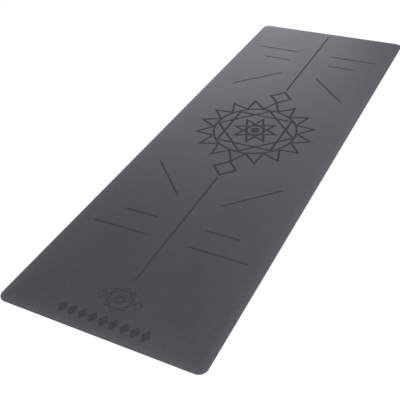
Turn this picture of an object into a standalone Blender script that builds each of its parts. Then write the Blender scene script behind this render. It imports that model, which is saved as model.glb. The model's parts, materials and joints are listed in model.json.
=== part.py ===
# A yoga mat lying flat, in metres with Z up. Its origin is under its middle,
# on the floor, and +Y runs along it towards the far end. It is a laminate of
# three sheets: a polyurethane skin with engraved lines, the textile that the
# skin is cast on, and a thick base of foamed natural rubber.

import math

import bmesh
import bpy
from mathutils import Vector
from mathutils.geometry import delaunay_2d_cdt

MM = 0.001

# The mat's outline
MAT_LENGTH = 1830 * MM
MAT_WIDTH = 610 * MM
CORNER_RADIUS = 25 * MM
CORNER_STEPS = 12

# The sheets, from the floor up. The skin is the web left under an engraved
# line and the depth of that line.
BASE_THICKNESS = 3.0 * MM
TEXTILE_THICKNESS = 0.4 * MM
SKIN_WEB = 0.35 * MM
GROOVE_DEPTH = 0.25 * MM

# The guide lines. They lie the same way on both sides of the medallion and
# of the mat's centre line, and are measured from the far end and the sides.
MEDALLION_SHIFT = 84.5 * MM
GUIDE_WIDTH = 6 * MM
CENTRE_LINE_END_MARGIN = 31.5 * MM
CENTRE_LINE_GAP = 16 * MM
LONG_LINE_END_MARGIN = 205 * MM
LONG_LINE_SIDE_MARGIN = 56 * MM
LONG_LINE_LENGTH = 182 * MM
LINE_SPACING = 81 * MM
SHORT_LINE_SIDE_MARGIN = 116 * MM
SHORT_LINE_LENGTH = 109 * MM
DIAGONAL_SPACING = 115.5 * MM
DIAGONAL_SIDE_MARGIN = 88.5 * MM
DIAGONAL_RUN = 144 * MM

# The medallion, a sun of straight rays round an eight-pointed star, with a
# lozenge hanging from it towards each end of the mat. Its inner sizes are
# shares of its radius, and all are taken to the middle of a line.
MEDALLION_SIDE_MARGIN = 103 * MM
MEDALLION_LINE = 8 * MM
PENDANT_LENGTH = 80 * MM
PENDANT_WIDTH = 78 * MM
RAYS = 16
RING_SHARE = 0.71
INNER_STAR_SHARE = 0.37
HUB_SHARE = 0.085
STAR_POINTS = 8
STAR_STEP = 3
CIRCLE_STEPS = 64

# The small star at the near end with a lozenge on each side of it, and the
# row of filled lozenges below them
SMALL_STAR_MARGIN = 126 * MM
SMALL_STAR_RADIUS = 44 * MM
SMALL_STAR_LINE = 2.6 * MM
SMALL_STAR_CORE_SHARE = 0.42
SIDE_LOZENGE_WIDTH = 20 * MM
SIDE_LOZENGE_HEIGHT = 34 * MM
ROW_MARGIN = 27 * MM
ROW_HEIGHT = 40 * MM
ROW_WIDTH = 275 * MM
ROW_LOZENGES = 9
ROW_GAP = 4 * MM

# Points of the drawing this close are one point
DRAWING_TOLERANCE = 0.001 * MM
TRIANGLES_INSIDE = 1

# The second material of a sheet, on its engraved floors and their walls
ENGRAVED = 1


# Heights and places that follow from the sizes above

base_top = BASE_THICKNESS
textile_top = base_top + TEXTILE_THICKNESS
groove_floor = textile_top + SKIN_WEB
skin_top = groove_floor + GROOVE_DEPTH

half_width = MAT_WIDTH / 2
half_length = MAT_LENGTH / 2
medallion_radius = half_width - MEDALLION_SIDE_MARGIN
pendant_start = medallion_radius + MEDALLION_LINE / 4
pendant_tip = pendant_start + PENDANT_LENGTH


def ring_points(radius, steps, turn=0.0):
    """Points evenly round a ring, the first on +Y unless turned."""
    angles = [math.pi / 2 + turn + math.tau * step / steps for step in range(steps)]
    return [(radius * math.cos(angle), radius * math.sin(angle)) for angle in angles]


def moved(points, shift):
    """The points, shifted along the mat."""
    return [(x, y + shift) for x, y in points]


def mat_outline():
    """The mat's rounded rectangle, anticlockwise from above."""
    radius = min(CORNER_RADIUS, half_width, half_length)
    outline = []
    for quarter, (side, end) in enumerate(((1, 1), (-1, 1), (-1, -1), (1, -1))):
        centre_x = side * (half_width - radius)
        centre_y = end * (half_length - radius)
        for step in range(CORNER_STEPS + 1):
            angle = math.pi / 2 * (quarter + step / CORNER_STEPS)
            x = centre_x + radius * math.cos(angle)
            y = centre_y + radius * math.sin(angle)
            outline.append((x, y))
    return outline


def stroke(points, width, closed=False):
    """One four-sided shape for each run of a line, with mitred corners."""
    path = [Vector(point) for point in points]
    runs = len(path) if closed else len(path) - 1
    ahead = [(path[(i + 1) % len(path)] - path[i]).normalized() for i in range(runs)]
    sides = []
    for i in range(len(path)):
        last = ahead[i - 1] if closed or i > 0 else ahead[0]
        following = ahead[i] if i < runs else ahead[-1]
        mitre = (last.orthogonal() + following.orthogonal()).normalized()
        reach = width / 2 / mitre.dot(following.orthogonal())
        sides.append((path[i] + mitre * reach, path[i] - mitre * reach))
    shapes = []
    for i in range(runs):
        left, right = sides[i]
        next_left, next_right = sides[(i + 1) % len(path)]
        shapes.append([left, right, next_right, next_left])
    return shapes


def lozenge(width, height, centre=(0.0, 0.0)):
    """The four corners of a lozenge that stands on its point."""
    x, y = centre
    return [(x, y - height / 2), (x + width / 2, y), (x, y + height / 2), (x - width / 2, y)]


def two_squares(radius, width):
    """The lines of an eight-pointed star made of two interlaced squares."""
    shapes = []
    for turn in (0, math.tau / STAR_POINTS):
        square = ring_points(radius, STAR_POINTS // 2, turn)
        shapes += stroke(square, width, closed=True)
    return shapes


def star_path(radius):
    """A star drawn in one line, which steps over the points between its ends."""
    rim = ring_points(radius, STAR_POINTS)
    return [rim[STAR_STEP * i % STAR_POINTS] for i in range(STAR_POINTS)]


def guide_lines():
    """The centre line, and the lines that the hands and feet are set by."""
    line_end = half_length - MEDALLION_SHIFT
    long_y = line_end - LONG_LINE_END_MARGIN
    short_y = long_y - LINE_SPACING
    diagonal_y = short_y - DIAGONAL_SPACING
    long_x = half_width - LONG_LINE_SIDE_MARGIN
    short_x = half_width - SHORT_LINE_SIDE_MARGIN
    diagonal_x = half_width - DIAGONAL_SIDE_MARGIN
    shapes = []
    for end in (1, -1):
        centre_line = [
            (0, end * (pendant_tip + CENTRE_LINE_GAP)),
            (0, end * (line_end - CENTRE_LINE_END_MARGIN)),
        ]
        shapes += stroke(centre_line, GUIDE_WIDTH)
        for side in (1, -1):
            long_line = [
                (side * (long_x - LONG_LINE_LENGTH), end * long_y),
                (side * long_x, end * long_y),
            ]
            short_line = [
                (side * (short_x - SHORT_LINE_LENGTH), end * short_y),
                (side * short_x, end * short_y),
            ]
            diagonal = [
                (side * (diagonal_x - DIAGONAL_RUN), end * diagonal_y),
                (side * diagonal_x, end * (diagonal_y - DIAGONAL_RUN)),
            ]
            for line in (long_line, short_line, diagonal):
                shapes += stroke(line, GUIDE_WIDTH)
    return shapes


def medallion():
    """Rays on a ring, a star of two squares, a finer star, and two pendants."""
    ring_radius = medallion_radius * RING_SHARE
    shapes = stroke(ring_points(ring_radius, CIRCLE_STEPS), MEDALLION_LINE, closed=True)
    # The rays stand on the ring, and the squares' mitred corners end in it
    tips = ring_points(medallion_radius, RAYS)
    valleys = ring_points(ring_radius + MEDALLION_LINE / 2, RAYS, math.pi / RAYS)
    rays = [point for pair in zip(tips, valleys) for point in pair]
    shapes += stroke(rays, MEDALLION_LINE, closed=True)
    square_radius = ring_radius - MEDALLION_LINE * math.sqrt(0.5)
    shapes += two_squares(square_radius, MEDALLION_LINE)
    inner = star_path(medallion_radius * INNER_STAR_SHARE)
    shapes += stroke(inner, MEDALLION_LINE, closed=True)
    shapes.append(ring_points(medallion_radius * HUB_SHARE, STAR_POINTS))
    middle = (pendant_start + pendant_tip) / 2
    for end in (1, -1):
        pendant = lozenge(PENDANT_WIDTH, PENDANT_LENGTH, (0, end * middle))
        shapes += stroke(pendant, MEDALLION_LINE, closed=True)
    return shapes


def small_star():
    """A thin eight-pointed star round a finer one, between two lozenges."""
    shapes = two_squares(SMALL_STAR_RADIUS, SMALL_STAR_LINE)
    core = star_path(SMALL_STAR_RADIUS * SMALL_STAR_CORE_SHARE)
    shapes += stroke(core, SMALL_STAR_LINE, closed=True)
    beside = SMALL_STAR_RADIUS + SIDE_LOZENGE_WIDTH / 2
    for side in (1, -1):
        diamond = lozenge(SIDE_LOZENGE_WIDTH, SIDE_LOZENGE_HEIGHT, (side * beside, 0))
        shapes += stroke(diamond, SMALL_STAR_LINE, closed=True)
    return shapes


def lozenge_row():
    """A row of filled lozenges across the near end."""
    pitch = (ROW_WIDTH + ROW_GAP) / ROW_LOZENGES
    first = (pitch - ROW_WIDTH - ROW_GAP) / 2
    middle = ROW_MARGIN + ROW_HEIGHT / 2
    return [
        lozenge(pitch - ROW_GAP, ROW_HEIGHT, (first + i * pitch, middle))
        for i in range(ROW_LOZENGES)
    ]


def engraving():
    """Every shape that is cut into the skin, in the mat's own frame."""
    centred = guide_lines() + medallion()
    shapes = [moved(shape, MEDALLION_SHIFT) for shape in centred]
    shapes += [moved(shape, SMALL_STAR_MARGIN - half_length) for shape in small_star()]
    shapes += [moved(shape, -half_length) for shape in lozenge_row()]
    return shapes


def drawing_triangles(outline, cuts):
    """The plan as points and triangles, each with whether a cut covers it."""
    points = []
    loops = []
    for shape in [outline] + cuts:
        loops.append(range(len(points), len(points) + len(shape)))
        points += [Vector(point) for point in shape]
    found = delaunay_2d_cdt(points, [], loops, TRIANGLES_INSIDE, DRAWING_TOLERANCE)
    plan, _, triangles, _, _, sources = found
    inside = [(tri, len(src) > 1) for tri, src in zip(triangles, sources) if 0 in src]
    return plan, inside


def sheet_mesh(outline, bottom, top, cuts=(), floor=None):
    """A flat sheet whose top is sunk to a floor wherever a cut covers it."""
    plan, triangles = drawing_triangles(outline, list(cuts))
    mesh = bmesh.new()
    made = {}

    def corner(index, height):
        if (index, height) not in made:
            made[index, height] = mesh.verts.new((*plan[index], height))
        return made[index, height]

    def column(index, high, low):
        """The corners over one point of the plan, from high down to low."""
        on_the_way = floor is not None and low < floor < high and (index, floor) in made
        heights = (high, floor, low) if on_the_way else (high, low)
        return [corner(index, height) for height in heights]

    height_beside = {}
    for triangle, is_cut in triangles:
        height = floor if is_cut else top
        face = mesh.faces.new([corner(index, height) for index in triangle])
        face.material_index = ENGRAVED if is_cut else 0
        for i in range(len(triangle)):
            height_beside[triangle[i - 1], triangle[i]] = height
    for (start, end), height in height_beside.items():
        beyond = height_beside.get((end, start), bottom)
        if beyond < height:
            near_side = column(start, height, beyond)
            far_side = column(end, height, beyond)
            wall = mesh.faces.new(near_side + far_side[::-1])
            wall.material_index = ENGRAVED if beyond == floor else 0
    rim = [edge for edge in mesh.edges if edge.is_boundary]
    bmesh.ops.edgeloop_fill(mesh, edges=rim)
    bmesh.ops.recalc_face_normals(mesh, faces=mesh.faces)
    return mesh


def material(name, colour, roughness):
    """A plain non-metal finish."""
    made = bpy.data.materials.new(name)
    made.use_nodes = True
    shader = made.node_tree.nodes["Principled BSDF"]
    shader.inputs["Base Color"].default_value = (*colour, 1.0)
    shader.inputs["Roughness"].default_value = roughness
    shader.inputs["Metallic"].default_value = 0.0
    return made


def add_sheet(name, mesh, *finishes):
    """One sheet of the laminate, as an object of that name."""
    data = bpy.data.meshes.new(name)
    mesh.to_mesh(data)
    mesh.free()
    for finish in finishes:
        data.materials.append(finish)
    sheet = bpy.data.objects.new(name, data)
    bpy.context.scene.collection.objects.link(sheet)


def build_mat():
    """The three sheets, each lying on the one below it and bonded to it."""
    outline = mat_outline()
    base = sheet_mesh(outline, 0.0, base_top)
    add_sheet("rubber_base", base, material("rubber", (0.046, 0.0475, 0.051), 0.85))

    textile = sheet_mesh(outline, base_top, textile_top)
    add_sheet("carrier_textile", textile, material("textile", (0.055, 0.056, 0.06), 0.95))

    skin = sheet_mesh(outline, textile_top, skin_top, engraving(), groove_floor)
    smooth = material("polyurethane", (0.06, 0.063, 0.07), 0.5)
    etched = material("etched_polyurethane", (0.046, 0.0475, 0.053), 0.95)
    add_sheet("top_skin", skin, smooth, etched)


for old in list(bpy.data.objects):
    bpy.data.objects.remove(old, do_unlink=True)
build_mat()
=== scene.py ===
# The looks of a yoga mat: an engraved polyurethane skin, the cloth that it is
# cast on, and a foamed rubber base with a waved grip underneath. Everything is
# in metres in the frame of the solids, with the floor at zero.

import json
import math

import bmesh
import bpy
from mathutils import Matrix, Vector

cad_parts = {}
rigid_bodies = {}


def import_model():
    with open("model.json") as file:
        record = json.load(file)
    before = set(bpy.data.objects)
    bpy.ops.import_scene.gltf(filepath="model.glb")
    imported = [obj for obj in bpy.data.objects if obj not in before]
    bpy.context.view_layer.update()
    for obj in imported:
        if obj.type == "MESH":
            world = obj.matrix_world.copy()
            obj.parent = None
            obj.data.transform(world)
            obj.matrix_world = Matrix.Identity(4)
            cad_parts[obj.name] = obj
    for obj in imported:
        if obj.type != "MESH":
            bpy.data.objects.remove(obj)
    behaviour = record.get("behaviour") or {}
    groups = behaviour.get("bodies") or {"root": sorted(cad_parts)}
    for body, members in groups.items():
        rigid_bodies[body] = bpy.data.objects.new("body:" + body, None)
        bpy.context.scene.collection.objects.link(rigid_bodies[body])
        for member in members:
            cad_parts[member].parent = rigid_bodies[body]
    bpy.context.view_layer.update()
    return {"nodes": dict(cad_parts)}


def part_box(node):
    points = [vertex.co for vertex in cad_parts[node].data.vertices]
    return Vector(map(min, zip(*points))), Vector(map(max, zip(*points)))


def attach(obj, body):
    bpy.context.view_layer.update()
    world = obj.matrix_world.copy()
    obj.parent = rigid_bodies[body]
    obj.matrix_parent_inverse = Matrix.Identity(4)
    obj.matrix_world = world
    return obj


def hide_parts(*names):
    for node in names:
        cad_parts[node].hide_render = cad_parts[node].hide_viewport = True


MM = 0.001

# The rounded rims, above on the skin and below on the rubber, and their steps
SKIN_RIM = 0.35 * MM
RUBBER_RIM = 0.5 * MM
RIM_STEPS = 4

# How far the cloth lies inside the cut edge, and the rubber's cut side draws in
CLOTH_INSET = 0.12 * MM
RUBBER_WAIST = 0.12 * MM

# The grip under the rubber, flat-topped ribs that run across the mat in waves.
# A rib's profile is its corners, each with its share of the pitch and then 0 on
# the rib's flat top or 1 in the groove.
GRIP_MARGIN = 10 * MM
RIB_PITCH = 12 * MM
RIB_DEPTH = 0.8 * MM
RIB_END = 2 * MM
RIB_PROFILE = ((0.0, 0), (0.4, 0), (0.55, 1), (0.85, 1))
WAVES = 8
WAVE_STEPS = 6
WAVE_HEIGHT = 5 * MM
WAVE_FADE = 40 * MM

# Faces that turn by more than the first angle meet in a crease, and in the
# rubber by more than the second
CREASE = math.radians(40)
RUBBER_CREASE = math.radians(60)

# The skin is painted lighter at its rim, a painted light in a narrow band and in a wide one.
# The painted light fades from the mat's middle, and would be gone a little past its far end.
RIM_BAND = 35 * MM
WIDE_BAND = 200 * MM
RIM_BAND_SHARE = 0.65
BAND_FADE_POWER = 2.0
RIM_LIGHT_END_SHARE = 1.15

# Points closer than this are one point, and heights closer are one height
TOUCHING = 0.01 * MM

# The finishes. Tones are pairs of linear colours with a grain that goes between
# them, a scale is a count of grains to the metre, and a depth is one of relief.
SKIN_TONES = ((0.038, 0.041, 0.0468), (0.0435, 0.0467, 0.0523))
# Painted light: the lighter tone that the skin's rim is painted with
SKIN_RIM_PAINTED_LIGHT = (0.0748, 0.0775, 0.0825)
SKIN_ROUGHNESS = (0.485, 0.535)
SKIN_SPECULAR = 0.137
CLOUD_SCALE = 5.0
MOTTLE_SCALE = 140.0
MOTTLE_IN_TONE = 0.06
# The share by which the mottle makes the rim's painted light patchy
MOTTLE_IN_RIM_LIGHT = 0.15
MOTTLE_IN_ROUGHNESS = 0.03
GRAIN_SCALE = 750.0
GRAIN_DEPTH = 0.09 * MM
FINE_GRAIN_SCALE = 2600.0
FINE_GRAIN_DEPTH = 0.03 * MM

ETCHED_TONES = ((0.0403, 0.0418, 0.047), (0.0461, 0.0475, 0.0533))
ETCHED_ROUGHNESS = 0.95
ETCHED_SPECULAR = 0.05
BURN_SCALE = 450.0
BURN_DEPTH = 0.06 * MM
LASER_PITCH = 0.4 * MM
LASER_DEPTH = 0.02 * MM

KNIT_TONES = ((0.1, 0.102, 0.107), (0.07, 0.071, 0.075))
KNIT_ROUGHNESS = 0.95
KNIT_SPECULAR = 0.2
LOOP_SCALE = 1400.0
LOOP_RANGE = (0.0, 0.6)
LOOP_DEPTH = 0.1 * MM

# The rubber is palest at its cut side, partly its own tone and partly painted light from
# the front. It is worn where it touches the floor, and darkest in the grooves with painted
# shade. The painted shade begins at a share of the margin round the grip, and takes over
# from the worn tone between two shares of the depth.
CUT_RUBBER_AND_PAINTED_LIGHT_TONES = ((0.08, 0.0815, 0.085), (0.092, 0.0935, 0.097))
WORN_RUBBER_TONES = ((0.052, 0.0535, 0.057), (0.062, 0.0635, 0.067))
GROOVE_PAINTED_SHADE_TONES = ((0.037, 0.0385, 0.042), (0.043, 0.0445, 0.048))
GROOVE_MARGIN_SHARE = 0.5
GROOVE_START_SHARE = 0.1
GROOVE_END_SHARE = 0.6
RUBBER_ROUGHNESS = (0.78, 0.9)
RUBBER_SPECULAR = 0.35
DUST_SCALE = 60.0
DUST_RANGE = (0.35, 0.7)
PORE_SCALE = 1100.0
PORE_RANGE = (0.0, 0.35)
PORE_DEPTH = 0.06 * MM
CRUMB_SCALE = 1800.0
CRUMB_DEPTH = 0.03 * MM

# The part of the range from 0 to 1 that noise is mostly in, and the middle of it
NOISE_RANGE = (0.3, 0.7)
NOISE_MIDDLE = (0.35, 0.65)

# The camera of the photograph, whose picture is 400 pixels wide
PICTURE_WIDTH = 400
FOCAL_PIXELS = 665.7
SENSOR_WIDTH = 36.0
CAMERA_PLACE = (0.7927, -1.7228, 1.2442)
CAMERA_TURN = (52.028, 3.506, 27.024)

# The studio
FLOOR_SIDE = 40.0
FLOOR_DROP = 0.1 * MM
FLOOR_COLOUR = (0.95, 0.95, 0.95)
FLOOR_WHITE_SHARE = 0.85
WHITE = (1.0, 1.0, 1.0)
WORLD_LEVEL = 0.6
KEY_PLACE = (1.4, -1.2, 2.6)
KEY_AIM = (0.0, 0.0, 0.0)
KEY_SIZE = (2.0, 2.0)
KEY_POWER = 60.0
SHEEN_PLACE = (-1.21, 2.6, 0.9)
SHEEN_COLOUR = (0.98, 0.98, 1.1)
SHEEN_AIM = (-0.1, 0.6, 0.0)
SHEEN_SIZE = (1.8, 0.35)
SHEEN_POWER = 32.0


for leftover in list(bpy.data.objects):
    bpy.data.objects.remove(leftover)
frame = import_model()


# Meshes

def welded(node):
    """A node's solid with the points that meet made one."""
    mesh = bmesh.new()
    mesh.from_mesh(frame["nodes"][node].data)
    bmesh.ops.remove_doubles(mesh, verts=mesh.verts, dist=TOUCHING)
    return mesh


def bearing(point):
    """The direction of a point from the mat's middle, anticlockwise from +X."""
    return math.atan2(point.y, point.x)


def inward(outline):
    """The flat unit vector into the mat at each point of its outline."""
    vectors = []
    for i in range(len(outline)):
        along = outline[(i + 1) % len(outline)] - outline[i - 1]
        vectors.append(Vector((-along.y, along.x)).normalized())
    return vectors


def mat_outline():
    """The outline that all three sheets are cut to."""
    mesh = welded("rubber_base")
    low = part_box("rubber_base")[0][2]
    outline = [vert.co.xy.copy() for vert in mesh.verts if abs(vert.co.z - low) < TOUCHING]
    mesh.free()
    return sorted(outline, key=bearing)


OUTLINE = mat_outline()
INWARD = inward(OUTLINE)
HALF_WIDTH = max(point.x for point in OUTLINE)
HALF_LENGTH = max(point.y for point in OUTLINE)
END_HALF_WIDTH = max(point.x for point in OUTLINE if point.y > HALF_LENGTH - TOUCHING)
CORNER_RADIUS = HALF_WIDTH - END_HALF_WIDTH


def add_ring(mesh, inset, height):
    """The corners of the outline at a height, moved into the mat by an inset."""
    places = [point + step * inset for point, step in zip(OUTLINE, INWARD)]
    return [mesh.verts.new((*place, height)) for place in places]


def join_rings(mesh, lower, upper):
    """The faces of the wall between two rings, facing out."""
    for i in range(len(lower)):
        after = (i + 1) % len(lower)
        mesh.faces.new((lower[i], lower[after], upper[after], upper[i]))


def add_wall(mesh, profile, first=None):
    """A wall through rings of (inset, height), and its first and last ring."""
    rings = [] if first is None else [first]
    for inset, height in profile:
        rings.append(add_ring(mesh, inset, height))
    for lower, upper in zip(rings, rings[1:]):
        join_rings(mesh, lower, upper)
    return rings[0], rings[-1]


def quarter_round(radius):
    """Points of a quarter circle as (inset, drop), from its top to its side."""
    angles = [math.pi / 2 * step / RIM_STEPS for step in range(RIM_STEPS + 1)]
    return [(radius * (1 - math.sin(angle)), radius * (1 - math.cos(angle))) for angle in angles]


def is_level(face):
    """Whether a face lies flat."""
    heights = [vert.co.z for vert in face.verts]
    return max(heights) - min(heights) < TOUCHING


def add_piece(name, mesh, node, materials, crease=CREASE):
    """The finished mesh as a piece that stands for a node."""
    bmesh.ops.recalc_face_normals(mesh, faces=mesh.faces)
    for face in mesh.faces:
        face.smooth = True
    for edge in mesh.edges:
        level = {is_level(face) for face in edge.link_faces}
        edge.smooth = len(level) == 1 and edge.calc_face_angle(0.0) < crease
    data = bpy.data.meshes.new(name)
    mesh.to_mesh(data)
    mesh.free()
    for material in materials:
        data.materials.append(material)
    piece = bpy.data.objects.new(name, data)
    bpy.context.scene.collection.objects.link(piece)
    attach(piece, "root")
    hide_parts(node)
    return piece


# Materials

def opaque(colour):
    return (*colour, 1.0)


class Shader:
    """A Principled material and short ways to add nodes to it."""

    def __init__(self, name):
        self.material = bpy.data.materials.new(name)
        self.material.use_nodes = True
        self.tree = self.material.node_tree
        self.principled = self.tree.nodes["Principled BSDF"]
        self.place = self.node("ShaderNodeTexCoord").outputs["Object"]

    def node(self, kind, **values):
        made = self.tree.nodes.new(kind)
        for name, value in values.items():
            setattr(made, name, value)
        return made

    def fill(self, socket, value):
        """Links a socket to a node's output, or sets its value."""
        if isinstance(value, bpy.types.NodeSocket):
            self.tree.links.new(value, socket)
        else:
            socket.default_value = value

    def set(self, name, value):
        self.fill(self.principled.inputs[name], value)

    def noise(self, scale, detail=3.0, roughness=0.5):
        made = self.node("ShaderNodeTexNoise")
        self.fill(made.inputs["Vector"], self.place)
        self.fill(made.inputs["Scale"], scale)
        self.fill(made.inputs["Detail"], detail)
        self.fill(made.inputs["Roughness"], roughness)
        return made.outputs["Fac"]

    def cells(self, scale, feature="F1"):
        made = self.node("ShaderNodeTexVoronoi", feature=feature)
        self.fill(made.inputs["Vector"], self.place)
        self.fill(made.inputs["Scale"], scale)
        return made.outputs["Distance"]

    def rows(self, pitch):
        """Even waves along the mat, from 0 to 1, a pitch apart."""
        turn = self.math("MULTIPLY", self.along("Y"), math.tau / pitch)
        return self.spread(self.math("SINE", turn), -1.0, 1.0)

    def math(self, operation, first, second=0.0):
        made = self.node("ShaderNodeMath", operation=operation)
        self.fill(made.inputs[0], first)
        self.fill(made.inputs[1], second)
        return made.outputs[0]

    def spread(self, value, low, high, to_low=0.0, to_high=1.0, smooth=False):
        """A value from one range brought smoothly or evenly to another."""
        made = self.node("ShaderNodeMapRange")
        made.interpolation_type = "SMOOTHSTEP" if smooth else "LINEAR"
        for name, number in (
            ("Value", value), ("From Min", low), ("From Max", high),
            ("To Min", to_low), ("To Max", to_high),
        ):
            self.fill(made.inputs[name], number)
        return made.outputs["Result"]

    def between(self, share, tones):
        """A colour between a pair of tones."""
        first, second = tones
        return self.blend(share, opaque(first), opaque(second))

    def blend(self, share, first, second, how="MIX"):
        made = self.node("ShaderNodeMix", data_type="RGBA", blend_type=how)
        values = {"Factor_Float": share, "A_Color": first, "B_Color": second}
        for socket in made.inputs:
            if socket.identifier in values:
                self.fill(socket, values[socket.identifier])
        return next(socket for socket in made.outputs if socket.identifier == "Result_Color")

    def along(self, axis):
        """A point's place along an axis of the mat, in metres from its middle."""
        parts = self.node("ShaderNodeSeparateXYZ")
        self.fill(parts.inputs[0], self.place)
        return parts.outputs[axis]

    def from_rim(self):
        """How far a point lies inside the mat's outline, in metres."""
        past_x = self.math("SUBTRACT", self.math("ABSOLUTE", self.along("X")), HALF_WIDTH - CORNER_RADIUS)
        past_y = self.math("SUBTRACT", self.math("ABSOLUTE", self.along("Y")), HALF_LENGTH - CORNER_RADIUS)
        square_x = self.math("POWER", self.math("MAXIMUM", past_x, 0.0), 2.0)
        square_y = self.math("POWER", self.math("MAXIMUM", past_y, 0.0), 2.0)
        in_corner = self.math("SQRT", self.math("ADD", square_x, square_y))
        on_side = self.math("MINIMUM", self.math("MAXIMUM", past_x, past_y), 0.0)
        return self.math("SUBTRACT", CORNER_RADIUS, self.math("ADD", in_corner, on_side))

    def bump(self, height, depth, under=None):
        """Relief of a height from 0 to 1 and a depth in metres."""
        made = self.node("ShaderNodeBump")
        self.fill(made.inputs["Distance"], depth)
        self.fill(made.inputs["Height"], height)
        if under is not None:
            self.fill(made.inputs["Normal"], under)
        return made.outputs["Normal"]


def painted_rim_light(shader):
    """How much painted light lightens the skin at a point near its rim, from 0 to 1."""
    rim_light = 0.0
    inside = shader.from_rim()
    for width, share in ((RIM_BAND, RIM_BAND_SHARE), (WIDE_BAND, 1 - RIM_BAND_SHARE)):
        in_band = shader.math("POWER", shader.spread(inside, 0.0, width, 1.0, 0.0), BAND_FADE_POWER)
        rim_light = shader.math("ADD", shader.math("MULTIPLY", in_band, share), rim_light)
    fade = shader.spread(shader.along("Y"), 0.0, RIM_LIGHT_END_SHARE * HALF_LENGTH, 1.0, 0.0)
    return shader.math("MULTIPLY", rim_light, fade)


def skin_material():
    """Fine-grained satin polyurethane, a little uneven in tone and sheen."""
    shader = Shader("polyurethane")
    clouds = shader.noise(CLOUD_SCALE, detail=4.0, roughness=0.55)
    mottle = shader.noise(MOTTLE_SCALE, detail=3.0, roughness=0.6)

    colour = shader.between(shader.spread(clouds, *NOISE_RANGE), SKIN_TONES)
    # Painted light: the skin's rim is painted lighter, a little patchy with the mottle
    patchy = shader.spread(mottle, *NOISE_RANGE, 1 - MOTTLE_IN_RIM_LIGHT, 1 + MOTTLE_IN_RIM_LIGHT)
    rim_light = shader.math("MULTIPLY", painted_rim_light(shader), patchy)
    colour = shader.blend(rim_light, colour, opaque(SKIN_RIM_PAINTED_LIGHT))
    speck = shader.spread(mottle, *NOISE_MIDDLE, 1 - MOTTLE_IN_TONE, 1 + MOTTLE_IN_TONE)
    shader.set("Base Color", shader.blend(1.0, colour, speck, "MULTIPLY"))

    roughness = shader.spread(clouds, *NOISE_RANGE, *SKIN_ROUGHNESS)
    uneven = shader.spread(mottle, *NOISE_RANGE, -MOTTLE_IN_ROUGHNESS, MOTTLE_IN_ROUGHNESS)
    shader.set("Roughness", shader.math("ADD", roughness, uneven))
    shader.set("Specular IOR Level", SKIN_SPECULAR)

    grain = shader.bump(shader.cells(GRAIN_SCALE, "SMOOTH_F1"), GRAIN_DEPTH)
    fine = shader.noise(FINE_GRAIN_SCALE, detail=2.0)
    shader.set("Normal", shader.bump(fine, FINE_GRAIN_DEPTH, grain))
    return shader.material


def etched_material():
    """Polyurethane burnt off by the laser in close rows, darker and without sheen."""
    shader = Shader("etched_polyurethane")
    burn = shader.noise(BURN_SCALE, detail=4.0, roughness=0.6)
    shader.set("Base Color", shader.between(shader.spread(burn, *NOISE_RANGE), ETCHED_TONES))
    shader.set("Roughness", ETCHED_ROUGHNESS)
    shader.set("Specular IOR Level", ETCHED_SPECULAR)
    rows = shader.bump(shader.rows(LASER_PITCH), LASER_DEPTH)
    shader.set("Normal", shader.bump(burn, BURN_DEPTH, rows))
    return shader.material


def cloth_material():
    """Dark polyester knit."""
    shader = Shader("polyester_knit")
    loops = shader.cells(LOOP_SCALE)
    shader.set("Base Color", shader.between(shader.spread(loops, *LOOP_RANGE), KNIT_TONES))
    shader.set("Roughness", KNIT_ROUGHNESS)
    shader.set("Specular IOR Level", KNIT_SPECULAR)
    shader.set("Normal", shader.bump(loops, LOOP_DEPTH))
    return shader.material


def rubber_material():
    """Foamed rubber with fine pores, palest at its cut side partly with painted light, and darkest in the
    grooves with painted shade.
    """
    shader = Shader("foamed_rubber")
    dust = shader.noise(DUST_SCALE, detail=5.0, roughness=0.6)
    dusty = shader.spread(dust, *DUST_RANGE)
    # Painted light and shade: the cut side is paler partly as painted light from the front, and the
    # grooves are darker with painted shade
    cut = shader.between(dusty, CUT_RUBBER_AND_PAINTED_LIGHT_TONES)
    worn = shader.between(dusty, WORN_RUBBER_TONES)
    groove_shade = shader.between(dusty, GROOVE_PAINTED_SHADE_TONES)
    in_grip = shader.spread(shader.from_rim(), GROOVE_MARGIN_SHARE * GRIP_MARGIN, GRIP_MARGIN)
    low, high = GROOVE_START_SHARE * RIB_DEPTH, GROOVE_END_SHARE * RIB_DEPTH
    off_floor = shader.spread(shader.along("Z"), low, high)
    shader.set("Base Color", shader.blend(off_floor, worn, shader.blend(in_grip, cut, groove_shade)))

    shader.set("Roughness", shader.spread(dust, *NOISE_RANGE, *RUBBER_ROUGHNESS))
    shader.set("Specular IOR Level", RUBBER_SPECULAR)
    crumbs = shader.bump(shader.noise(CRUMB_SCALE), CRUMB_DEPTH)
    pores = shader.spread(shader.cells(PORE_SCALE), *PORE_RANGE, smooth=True)
    shader.set("Normal", shader.bump(pores, PORE_DEPTH, crumbs))
    return shader.material


# The three sheets

def make_skin():
    """The engraved solid with its square upper rim rounded off."""
    low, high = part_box("top_skin")
    bottom, top = low[2], high[2]
    mesh = welded("top_skin")
    underneath = [face for face in mesh.faces if min(v.co.z for v in face.verts) < bottom + TOUCHING]
    bmesh.ops.delete(mesh, geom=underneath, context="FACES")
    rim = {vert for edge in mesh.edges if edge.is_boundary for vert in edge.verts}
    first = sorted(rim, key=lambda vert: bearing(vert.co))
    for vert, step in zip(first, INWARD):
        vert.co.xy += step * SKIN_RIM
    for face in mesh.faces:
        face.material_index = int(min(v.co.z for v in face.verts) < top - TOUCHING)
    arc = quarter_round(SKIN_RIM)[1:]
    profile = [(inset, top - drop) for inset, drop in arc] + [(0.0, bottom)]
    _, last = add_wall(mesh, profile, first)
    mesh.faces.new(last)
    add_piece("engraved_skin", mesh, "top_skin", [skin_material(), etched_material()])


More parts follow.
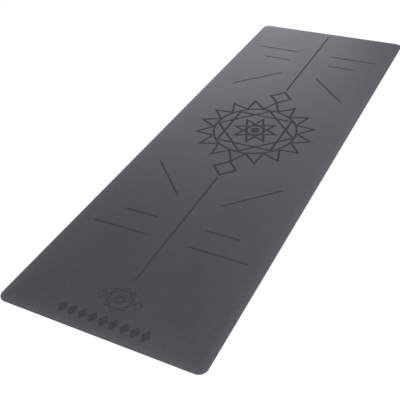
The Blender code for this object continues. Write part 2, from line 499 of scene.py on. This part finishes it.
def make_cloth():
    """The knit, a sheet of cloth that lies flat between skin and rubber."""
    low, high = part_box("carrier_textile")
    mesh = bmesh.new()
    first, last = add_wall(mesh, [(CLOTH_INSET, low[2]), (CLOTH_INSET, high[2])])
    mesh.faces.new(first)
    mesh.faces.new(last)
    cloth = add_piece("carrier_cloth", mesh, "carrier_textile", [cloth_material()])


def grip_rows(length):
    """Each row of the grip as its place along the mat and whether it is sunk."""
    crest = RIB_PROFILE[1][0]
    ribs = round(length / RIB_PITCH)
    pitch = length / (ribs + crest)
    rows = []
    for rib in range(ribs):
        rows += [((rib + share) * pitch, sunk) for share, sunk in RIB_PROFILE]
    rows += [(ribs * pitch, 0), (length, 0)]
    return rows


def add_grip(mesh, floor):
    """The waved ribs as a grid, and the edges round it."""
    half_width = HALF_WIDTH - GRIP_MARGIN
    half_length = HALF_LENGTH - GRIP_MARGIN
    steps = WAVES * WAVE_STEPS
    inner = half_width - RIB_END
    columns = [-half_width]
    columns += [inner * (2 * step / steps - 1) for step in range(steps + 1)]
    columns += [half_width]
    grid = []
    for along, sunk in grip_rows(2 * half_length):
        fade = min(1.0, along / WAVE_FADE, (2 * half_length - along) / WAVE_FADE)
        row = []
        for x in columns:
            at_end = abs(x) > inner
            sway = 0.0 if at_end else math.sin(math.pi * WAVES * (x / inner + 1))
            y = along - half_length + fade * WAVE_HEIGHT * sway
            row.append(mesh.verts.new((x, y, floor + RIB_DEPTH * (sunk and not at_end))))
        grid.append(row)
    for lower, upper in zip(grid, grid[1:]):
        for i in range(len(columns) - 1):
            mesh.faces.new((lower[i], upper[i], upper[i + 1], lower[i + 1]))
    return [edge for edge in mesh.edges if edge.is_boundary]


def make_rubber():
    """The rubber base, drawn in a little at its cut side, ribbed underneath."""
    low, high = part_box("rubber_base")
    floor, top = low[2], high[2]
    mesh = bmesh.new()
    round_grip = add_grip(mesh, floor)
    arc = [(inset, floor + drop) for inset, drop in quarter_round(RUBBER_RIM)]
    middle = (floor + RUBBER_RIM + top) / 2
    profile = arc + [(RUBBER_WAIST, middle), (0.0, top)]
    first, last = add_wall(mesh, profile)
    mesh.faces.new(last)
    sole = [mesh.edges.get((first[i - 1], first[i])) for i in range(len(first))]
    bmesh.ops.triangle_fill(mesh, edges=round_grip + sole, use_beauty=True, use_dissolve=False)
    base = add_piece("grip_base", mesh, "rubber_base", [rubber_material()], RUBBER_CREASE)


# The studio

def any_of(tree, sockets):
    """1 where any of the sockets is 1."""
    either = sockets[0]
    for socket in sockets[1:]:
        larger = tree.nodes.new("ShaderNodeMath")
        larger.operation = "MAXIMUM"
        tree.links.new(either, larger.inputs[0])
        tree.links.new(socket, larger.inputs[1])
        either = larger.outputs[0]
    return either


def seen_at(tree, level, unseen_level):
    """One level for rays from the eye, straight, off gloss or through glass, and one for light."""
    path = tree.nodes.new("ShaderNodeLightPath").outputs
    seen = any_of(tree, [path["Is Camera Ray"], path["Is Glossy Ray"], path["Is Transmission Ray"]])
    levels = tree.nodes.new("ShaderNodeMapRange")
    levels.inputs["To Min"].default_value = unseen_level
    levels.inputs["To Max"].default_value = level
    tree.links.new(seen, levels.inputs["Value"])
    return levels.outputs["Result"]


def from_below(tree):
    """1 where a ray comes at the floor from below, or is light on its way to the mat's underside."""
    path = tree.nodes.new("ShaderNodeLightPath").outputs
    below = tree.nodes.new("ShaderNodeNewGeometry").outputs["Backfacing"]
    return any_of(tree, [below, path["Is Shadow Ray"], path["Is Diffuse Ray"]])


def floor_material():
    """White where it is seen, darker only in the mat's shadow, and clear from below."""
    material = bpy.data.materials.new("floor")
    material.use_nodes = True
    tree = material.node_tree
    tree.nodes.clear()
    paint = tree.nodes.new("ShaderNodeBsdfDiffuse")
    paint.inputs["Color"].default_value = opaque(FLOOR_COLOUR)
    white = tree.nodes.new("ShaderNodeEmission")
    mix = tree.nodes.new("ShaderNodeMixShader")
    out = tree.nodes.new("ShaderNodeOutputMaterial")
    tree.links.new(seen_at(tree, FLOOR_WHITE_SHARE, 0.0), mix.inputs["Fac"])
    tree.links.new(paint.outputs[0], mix.inputs[1])
    tree.links.new(white.outputs[0], mix.inputs[2])
    clear = tree.nodes.new("ShaderNodeBsdfTransparent")
    one_sided = tree.nodes.new("ShaderNodeMixShader")
    tree.links.new(from_below(tree), one_sided.inputs["Fac"])
    tree.links.new(mix.outputs[0], one_sided.inputs[1])
    tree.links.new(clear.outputs[0], one_sided.inputs[2])
    tree.links.new(one_sided.outputs[0], out.inputs["Surface"])
    return material


def add_floor():
    bpy.ops.mesh.primitive_plane_add(size=FLOOR_SIDE, location=(0.0, 0.0, -FLOOR_DROP))
    floor = bpy.context.object
    floor.name = "floor"
    floor.data.materials.append(floor_material())


def set_world():
    """White to the eye and in reflections, and a plain level of light."""
    world = bpy.data.worlds.new("studio")
    bpy.context.scene.world = world
    world.use_nodes = True
    sky = world.node_tree.nodes["Background"]
    sky.inputs["Color"].default_value = opaque(WHITE)
    world.node_tree.links.new(seen_at(world.node_tree, 1.0, WORLD_LEVEL), sky.inputs["Strength"])


def add_softbox(name, place, aim, size, power, colour=WHITE):
    lamp = bpy.data.lights.new(name, "AREA")
    lamp.color = colour
    lamp.shape = "RECTANGLE"
    lamp.size, lamp.size_y = size
    lamp.energy = power
    softbox = bpy.data.objects.new(name, lamp)
    softbox.location = place
    towards = Vector(aim) - Vector(place)
    softbox.rotation_euler = towards.to_track_quat("-Z", "Y").to_euler()
    bpy.context.scene.collection.objects.link(softbox)


def add_camera():
    lens = bpy.data.cameras.new("camera")
    lens.sensor_width = SENSOR_WIDTH
    lens.lens = FOCAL_PIXELS / PICTURE_WIDTH * SENSOR_WIDTH
    camera = bpy.data.objects.new("camera", lens)
    camera.location = CAMERA_PLACE
    camera.rotation_euler = [math.radians(angle) for angle in CAMERA_TURN]
    bpy.context.scene.collection.objects.link(camera)
    bpy.context.scene.camera = camera


def light_studio():
    set_world()
    add_floor()
    add_softbox("key", KEY_PLACE, KEY_AIM, KEY_SIZE, KEY_POWER)
    add_softbox("far_sheen", SHEEN_PLACE, SHEEN_AIM, SHEEN_SIZE, SHEEN_POWER, SHEEN_COLOUR)
    bpy.context.scene.view_settings.view_transform = "Standard"


add_camera()
light_studio()
make_rubber()
make_cloth()
make_skin()
